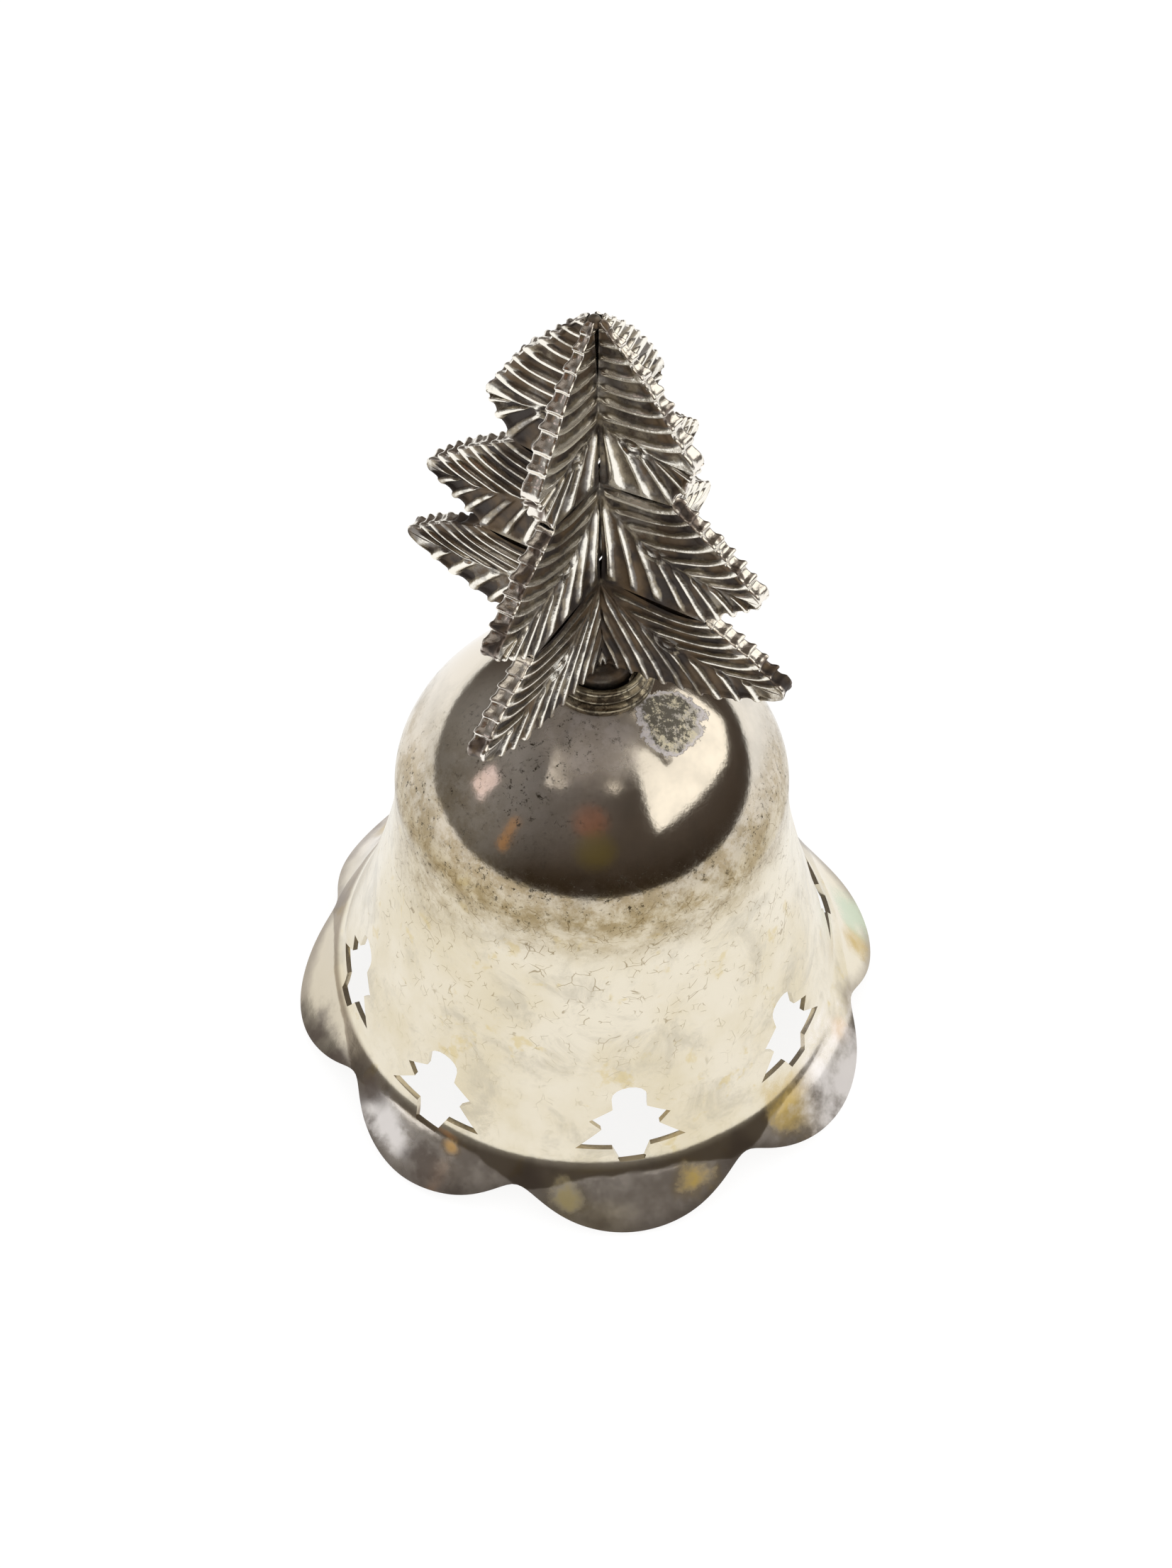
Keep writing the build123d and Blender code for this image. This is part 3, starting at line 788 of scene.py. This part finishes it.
def add_knot(points, half, crest, centre, slope):
    """Small oval knot with a groove round it and a raised ring outside that."""
    turn = np.array([[cos(slope), -sin(slope)], [sin(slope), cos(slope)]])
    local = (points - centre) @ turn / np.array([1.0, 0.62])
    far = np.linalg.norm(local, axis=2)
    for low, high, level, shade in KNOT_RINGS:
        inside = 1 - smoothstep(far, low, high)
        half = half + inside * (level - half)
        crest = crest + inside * (shade - crest)
    return half, crest


class TreeMesh:
    """Collects grids of points for the casting, each with how worn and how flat it is."""

    def __init__(self):
        self.points, self.crests, self.flats, self.faces = [], [], [], []

    def add(self, points, crest, flat, flip, wrap=False):
        """Adds a grid of points in the tree's own frame."""
        rows, columns = points.shape[:2]
        start = len(self.points)
        self.points += list(points.reshape(-1, 3))
        self.crests += list(np.broadcast_to(crest, (rows, columns)).reshape(-1))
        self.flats += [flat] * (rows * columns)
        self.faces += grid_faces(rows, columns, start, wrap=wrap, flip=flip)

    def add_turned(self, profile, crest, columns=48):
        """Adds a turned shape from its (r, z) profile, top first."""
        angles = np.linspace(0, 2 * pi, columns, endpoint=False)
        profile = np.array(profile)
        ring = np.stack([np.cos(angles), np.sin(angles)], 1)
        points = np.empty((len(profile), columns, 3))
        points[:, :, :2] = profile[:, 0, None, None] * ring[None]
        points[:, :, 2] = profile[:, 1, None]
        self.add(points, crest, 0.0, flip=True, wrap=True)


def vane(tree, turn, reach, seed):
    """One vane: both faces with their needles, and the flat outer edge between them."""
    out = np.array([cos(turn), sin(turn), 0])
    across = np.array([-sin(turn), cos(turn), 0])
    up = np.array([0, 0, 1.0])

    def place(flat, height):
        r = TRUNK_HALF + (flat[..., :1] - TRUNK_HALF) * reach
        thin = APEX_THIN + (1 - APEX_THIN) * smoothstep(APEX_Z - flat[..., 1], 0.0, 7.0)
        return r * out + flat[..., 1:] * up + (thin * height)[..., None] * across

    for number, tier in enumerate(TIERS):
        upper_root, upper_edge, lower_root, lower_edge = tier_paths(tier)
        lead, power, early = tier["upper_lead"], tier["lower_power"], tier["lower_early"]
        valley = (tier["under_end"][0] - TRUNK_HALF) / lower_edge.length if early else 0.0
        sets = [
            dict(
                root=upper_root, edge=upper_edge, needles=tier["upper_needles"],
                root_map=lambda u, lead=lead: lead * u + (1 - lead) * u**8,
                edge_map=lambda u: u, sag=0.16, valley_until=-1.0,
            ),
            dict(
                root=lower_root, edge=lower_edge, needles=tier["lower_needles"],
                root_map=lambda u: u,
                edge_map=lambda u, p=power, e=early: 1 - (1 - u) ** p if e else u**p,
                sag=-0.05, valley_until=valley,
            ),
        ]
        spine = Path(bezier(tier["spine_start"], tier["spine_pull"], tier["tip"]))
        knot_at, ahead = spine.at(tier["knot"]), spine.at(tier["knot"] + 0.05)
        slope = atan2(ahead[1] - knot_at[1], ahead[0] - knot_at[0])
        for part, needle_set in enumerate(sets):
            needle_seed = seed + 10 * number + part
            flat, half, crest, in_valley = needle_patch(**needle_set, seed=needle_seed)
            half, crest = add_knot(flat, half, crest, knot_at, slope)
            half[:, 0], crest[:, 0] = TRUNK_HALF, 0.0
            half[0], crest[0] = TRUNK_HALF, 0.3
            for side in (1, -1):
                tree.add(place(flat, side * half), crest, 0.0, (side > 0) == (part == 0))
            add_edge(tree, place, flat[-1], flat[-2], half[-1], crest[-1], in_valley, part == 0)


def add_edge(tree, place, line, inner, half, crest, in_valley, flip):
    """Flat outer edge of a tier, slightly crowned, with worn corners and dents."""
    outward = line - inner
    outward /= np.maximum(np.linalg.norm(outward, axis=1, keepdims=True), 1e-6)
    shown = np.where(in_valley < 0.5)[0]
    if len(shown) < 2:
        return
    first = shown[0]
    levels = np.array([1, 0.88, 0.66, 0.4, 0.13, -0.13, -0.4, -0.66, -0.88, -1])
    crown = np.array([0, 0.12, 0.10, 0.0, -0.04, -0.04, 0.0, 0.10, 0.12, 0])
    worn = np.array([0.8, 0.9, 0.7, 0.45, 0.4, 0.4, 0.45, 0.7, 0.9, 0.8])
    rows = []
    for level, push in zip(levels, crown):
        flat = line[first:] + push * outward[first:]
        rows.append(place(flat, level * half[first:]))
    shade = worn[:, None] * (0.85 + 0.15 * crest[first:][None])
    tree.add(np.array(rows), shade, 1.0, flip)


def lean(points):
    """The casting leans a little to the left as seen from the front."""
    share = (points[:, 2] - TREE_BASE_Z) / (APEX_Z - TREE_BASE_Z)
    shift = LEAN_FOOT + (LEAN_APEX - LEAN_FOOT) * share
    return points + shift[:, None] * RIGHT


def tree_piece(material):
    """The cast fir tree: four vanes, a blunt top and a round foot."""
    tree = TreeMesh()
    for quarter, reach in enumerate(VANE_REACH):
        vane(tree, radians(TREE_TURN + 90 * quarter), reach, seed=100 * quarter + 7)
    nub = [(NUB_R * cos(a), NUB_Z + NUB_R * sin(a)) for a in np.linspace(pi / 2, -0.9, 9)]
    tree.add_turned(nub, 0.12)
    foot = [(0.01, 55.75), (2.5, 55.75), (2.95, 55.6), (3.15, 55.3)]
    foot += [(FOOT_R, 55.0), (FOOT_R, 53.95), (0.01, 53.95)]
    tree.add_turned(foot, 0.05)
    piece = mesh_object("fir_tree_casting", lean(np.array(tree.points)), tree.faces, material)
    for name, values in (("crest", tree.crests), ("flat", tree.flats)):
        attribute = piece.data.attributes.new(name, "FLOAT", "POINT")
        attribute.data.foreach_set("value", np.array(values, dtype=np.float32))
    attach(piece, "root")
    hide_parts("tree_handle")
    return piece


# ---- The collar ---------------------------------------------------------------------------
def collar_piece(material):
    """Stepped ring between bell and tree: three turned beads, and a recess for the tree's foot."""
    profile = [(3.5, 53.95), (3.62, 54.7), (3.85, 54.95), (4.1, COLLAR_LIP_Z)]  # recess, lip
    profile += [(4.35, 54.9), (4.45, 54.68), (4.42, 54.5), (4.36, 54.42)]  # upper bead
    profile += [(4.5, 54.34), (4.72, 54.22), (4.82, 54.05), (4.78, 53.86), (4.72, 53.78)]  # middle bead
    profile += [(4.95, 53.7), (5.2, 53.5), (5.3, 53.25), (5.22, 52.9), (5.0, 52.3)]  # foot bead
    profile += [(3.6, 52.5), (3.5, 53.2)]  # underside and bore
    columns = 72
    angles = np.linspace(0, 2 * pi, columns, endpoint=False)
    points = np.array([[(r * cos(a), r * sin(a), z) for a in angles] for r, z in profile])
    points += COLLAR_SHIFT * RIGHT
    faces = grid_faces(len(profile), columns, wrap=True, close=True, flip=True)
    piece = mesh_object("stepped_collar", points.reshape(-1, 3), faces, material, 50)
    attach(piece, "root")
    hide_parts("crown_collar")
    return piece


# ---- Stage --------------------------------------------------------------------------------
def soft_white():
    """White table, lit through from below, as in product photography."""
    n = Nodes("pale_floor")
    n.shader.inputs["Emission Color"].default_value = (1.0, 1.0, 1.0, 1.0)
    n.shader.inputs["Emission Strength"].default_value = 0.84
    return n.finish((0.2, 0.2, 0.2), 0.9, 0.0)


FLOOR_HALF = 3000.0  # half the floor's width, in millimetres


def floor_piece():
    """The white table that the bell stands on."""
    corners = [(a * FLOOR_HALF, b * FLOOR_HALF, 0) for a, b in ((-1, -1), (1, -1), (1, 1), (-1, 1))]
    floor = mesh_object("floor", corners, [(0, 1, 2, 3)], soft_white())


def direction(azimuth, elevation):
    """Unit vector from an azimuth and an elevation in degrees."""
    a, e = radians(azimuth), radians(elevation)
    return Vector((cos(e) * cos(a), cos(e) * sin(a), sin(e)))


def window(n, colour, light, corners, soft=0.02):
    """A bright pane in the room, between corners given as (azimuth, elevation), anticlockwise."""
    mask = 1.0
    points = [direction(*corner) for corner in corners]
    for here, after in zip(points, points[1:] + points[:1]):
        side = n.ramp(n.along(here.cross(after).normalized()), -soft, soft)
        mask = n.product(side, mask)
    return n.mix(mask, colour, light)


def glow(n, colour, light, azimuth, elevation, reach, strength=1.0):
    """A soft round patch of light in the room; reach in degrees."""
    near = n.ramp(n.along(direction(azimuth, elevation)), cos(radians(reach)), 1.0, 0.0, strength)
    return n.mix(near, colour, light)


def surroundings():
    """A dim warm room with two windows over a white table, as the polished dome shows it."""
    world = bpy.data.worlds.new("room")
    scene.world = world
    n = Nodes.of_world(world)
    height = n.along((0, 0, 1))
    room = n.mix(n.ramp(height, 0.0, 0.62), (0.050, 0.037, 0.028), (0.078, 0.062, 0.051))
    room = n.mix(n.ramp(height, 0.86, 1.0), room, (0.27, 0.235, 0.21))
    room = glow(n, room, (0.26, 0.25, 0.24), 165, 20, 60, 0.8)
    room = glow(n, room, (0.20, 0.075, 0.035), -102, 46, 12, 0.8)
    room = glow(n, room, (0.11, 0.085, 0.02), -98, 30, 14, 0.7)
    for elevation in (17, 21, 26, 31):
        room = glow(n, room, (0.50, 0.25, 0.08), -151, elevation, 4, 0.8)
    for azimuth in (-138, -75):
        room = glow(n, room, (1.4, 1.3, 1.15), azimuth, 63, 4)
    pane = [(-6, 75), (-58, 41), (-58, 31), (5, 17), (22, 16), (38, 32)]
    room = window(n, room, (1.30, 1.25, 1.16), pane)
    room = window(n, room, (1.25, 1.05, 1.05), [(183, 38), (171, 38), (172, 24), (184, 24)], 0.03)
    # The white table runs up a little behind the bell.
    behind = n.ramp(n.along(direction(degrees(FRONT), 0)), -0.9, -0.1, 0.10, 0.0)
    room = n.mix(n.ramp(n.math("SUBTRACT", height, behind), -0.01, 0.02), (1.0, 1.0, 0.99), room)
    path = n.new("ShaderNodeLightPath")
    plain = n.largest(path.outputs["Is Camera Ray"], path.outputs["Is Diffuse Ray"])
    n.feed(n.shader.inputs["Color"], n.mix(plain, room, (1.0, 1.0, 1.0)))


def overhead_light():
    """Broad soft lamp above the table; too soft to show in the polished metal."""
    lamp = bpy.data.lights.new("overhead", "AREA")
    lamp.shape = "DISK"
    lamp.size = 1.6
    lamp.energy = 1.5
    holder = bpy.data.objects.new("overhead", lamp)
    scene.collection.objects.link(holder)
    holder.location = (0.25, -0.35, 1.3)
    holder.rotation_euler = holder.location.to_track_quat("Z", "Y").to_euler()
    holder.visible_glossy = False
    holder.visible_camera = False


CAMERA_ELEVATION, CAMERA_ROLL = radians(51.44), radians(0.84)
CAMERA_TARGET = Vector((-0.61, 0.12, 35.8)) * MM
CAMERA_DISTANCE = 192.6 * MM


def camera():
    """Camera at the photograph's place: high in front, a little left of a lobe."""
    elevation = CAMERA_ELEVATION
    back = Vector((cos(elevation) * cos(FRONT), cos(elevation) * sin(FRONT), sin(elevation)))
    right = Vector((0, 0, 1)).cross(back).normalized()
    up = back.cross(right)
    data = bpy.data.cameras.new("camera")
    data.lens = 42.25
    data.sensor_width = 36.0
    data.clip_start = 0.01
    holder = bpy.data.objects.new("camera", data)
    scene.collection.objects.link(holder)
    turn = Matrix((right, up, back)).transposed().to_4x4()
    place = Matrix.Translation(CAMERA_TARGET + back * CAMERA_DISTANCE)
    holder.matrix_world = place @ turn @ Matrix.Rotation(CAMERA_ROLL, 4, "Z")
    scene.camera = holder


# ---- Everything together ------------------------------------------------------------------
def dress_cad_nodes():
    """Better materials for the CAD pieces that are shown as they are."""
    steel = wire_material("dull_steel", (0.58, 0.56, 0.52), (0.36, 0.33, 0.29), 0.25, 0.5)
    brass = wire_material("dull_brass", (0.62, 0.53, 0.35), (0.42, 0.34, 0.22), 0.25, 0.5)
    ball = wire_material("clapper_brass", (0.60, 0.52, 0.36), (0.38, 0.31, 0.2), 0.2, 0.42)
    chosen = {
        "eye_stud": steel,
        "crown_washer": steel,
        "crown_nut": steel,
        "upper_link": brass,
        "middle_link": brass,
        "lower_link": brass,
        "clapper_wire": brass,
        "clapper_ball": ball,
    }
    for name, material in chosen.items():
        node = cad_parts[name]
        for place in node.material_slots:
            place.material = material


def main():
    camera()
    surroundings()
    floor_piece()
    overhead_light()
    bell_piece(silver_material())
    collar_piece(collar_material())
    tree_piece(pewter_material())
    dress_cad_nodes()
    scene.view_settings.view_transform = "Standard"


main()
